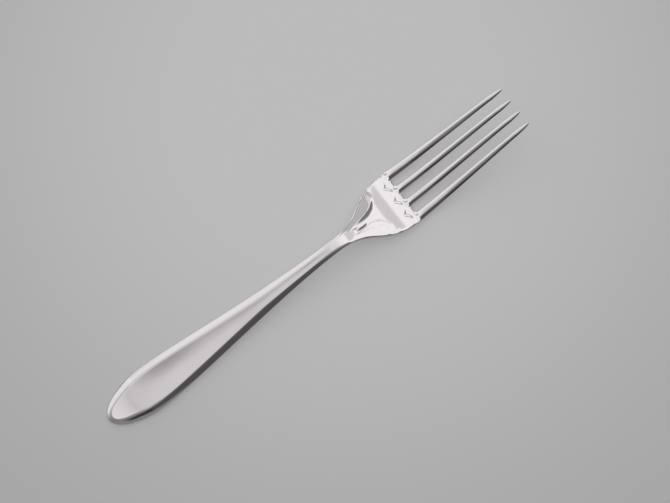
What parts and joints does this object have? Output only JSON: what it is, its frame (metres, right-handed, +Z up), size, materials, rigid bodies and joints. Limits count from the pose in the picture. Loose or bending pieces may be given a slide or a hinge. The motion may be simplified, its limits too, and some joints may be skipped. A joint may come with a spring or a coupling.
{
  "type": "dessert fork",
  "caption": "Slim polished steel dessert fork with a long bevelled paddle handle, a narrow neck, a dished head and slender pointed tines.",
  "frame": {"origin": "on the table, under the middle of the fork's length, with the fork lying face up", "axes": "+X runs from the end of the handle to the tips of the tines, +Z is up, out of the face of the fork"},
  "size_m": [0.1799, 0.0216, 0.0134],
  "materials": {
    "polished_steel": "mirror-polished stainless steel"
  },
  "bodies": {
    "root": {"fork": "polished_steel"}
  },
  "joints": []
}
